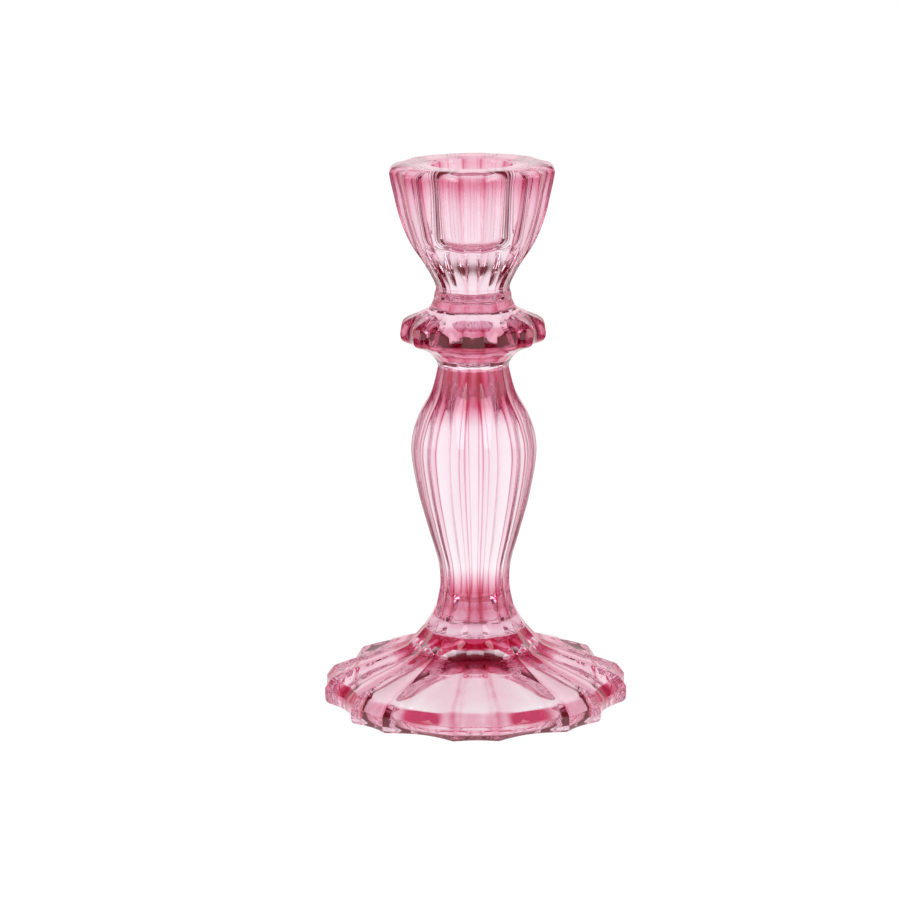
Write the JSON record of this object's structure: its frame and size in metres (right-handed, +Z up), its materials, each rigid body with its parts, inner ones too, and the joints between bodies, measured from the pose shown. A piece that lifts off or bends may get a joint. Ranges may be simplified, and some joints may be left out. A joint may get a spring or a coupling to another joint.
{
  "type": "glass candlestick",
  "caption": "Pressed glass candlestick with a lobed round foot, fluted baluster stem, lobed drip collar and fluted cup with a blind round socket for a dinner candle.",
  "frame": {"origin": "centre of the foot's underside, on the table", "axes": "+Z up along the axis of the candle; -Y is the front, where a narrow flute faces forwards"},
  "size_m": [0.089, 0.089, 0.16],
  "materials": {
    "foot_glass": "fire-polished pink glass, smooth",
    "wafer_glass": "fire-polished pink glass, smooth",
    "stem_glass": "fire-polished pink glass, smooth",
    "collar_glass": "fire-polished pink glass, smooth",
    "cup_glass": "fire-polished pink glass, smooth"
  },
  "bodies": {
    "root": {"foot": "foot_glass", "foot_wafer": "wafer_glass", "stem": "stem_glass", "collar_wafer": "wafer_glass", "drip_collar": "collar_glass", "cup_wafer": "wafer_glass", "candle_cup": "cup_glass"}
  },
  "joints": []
}
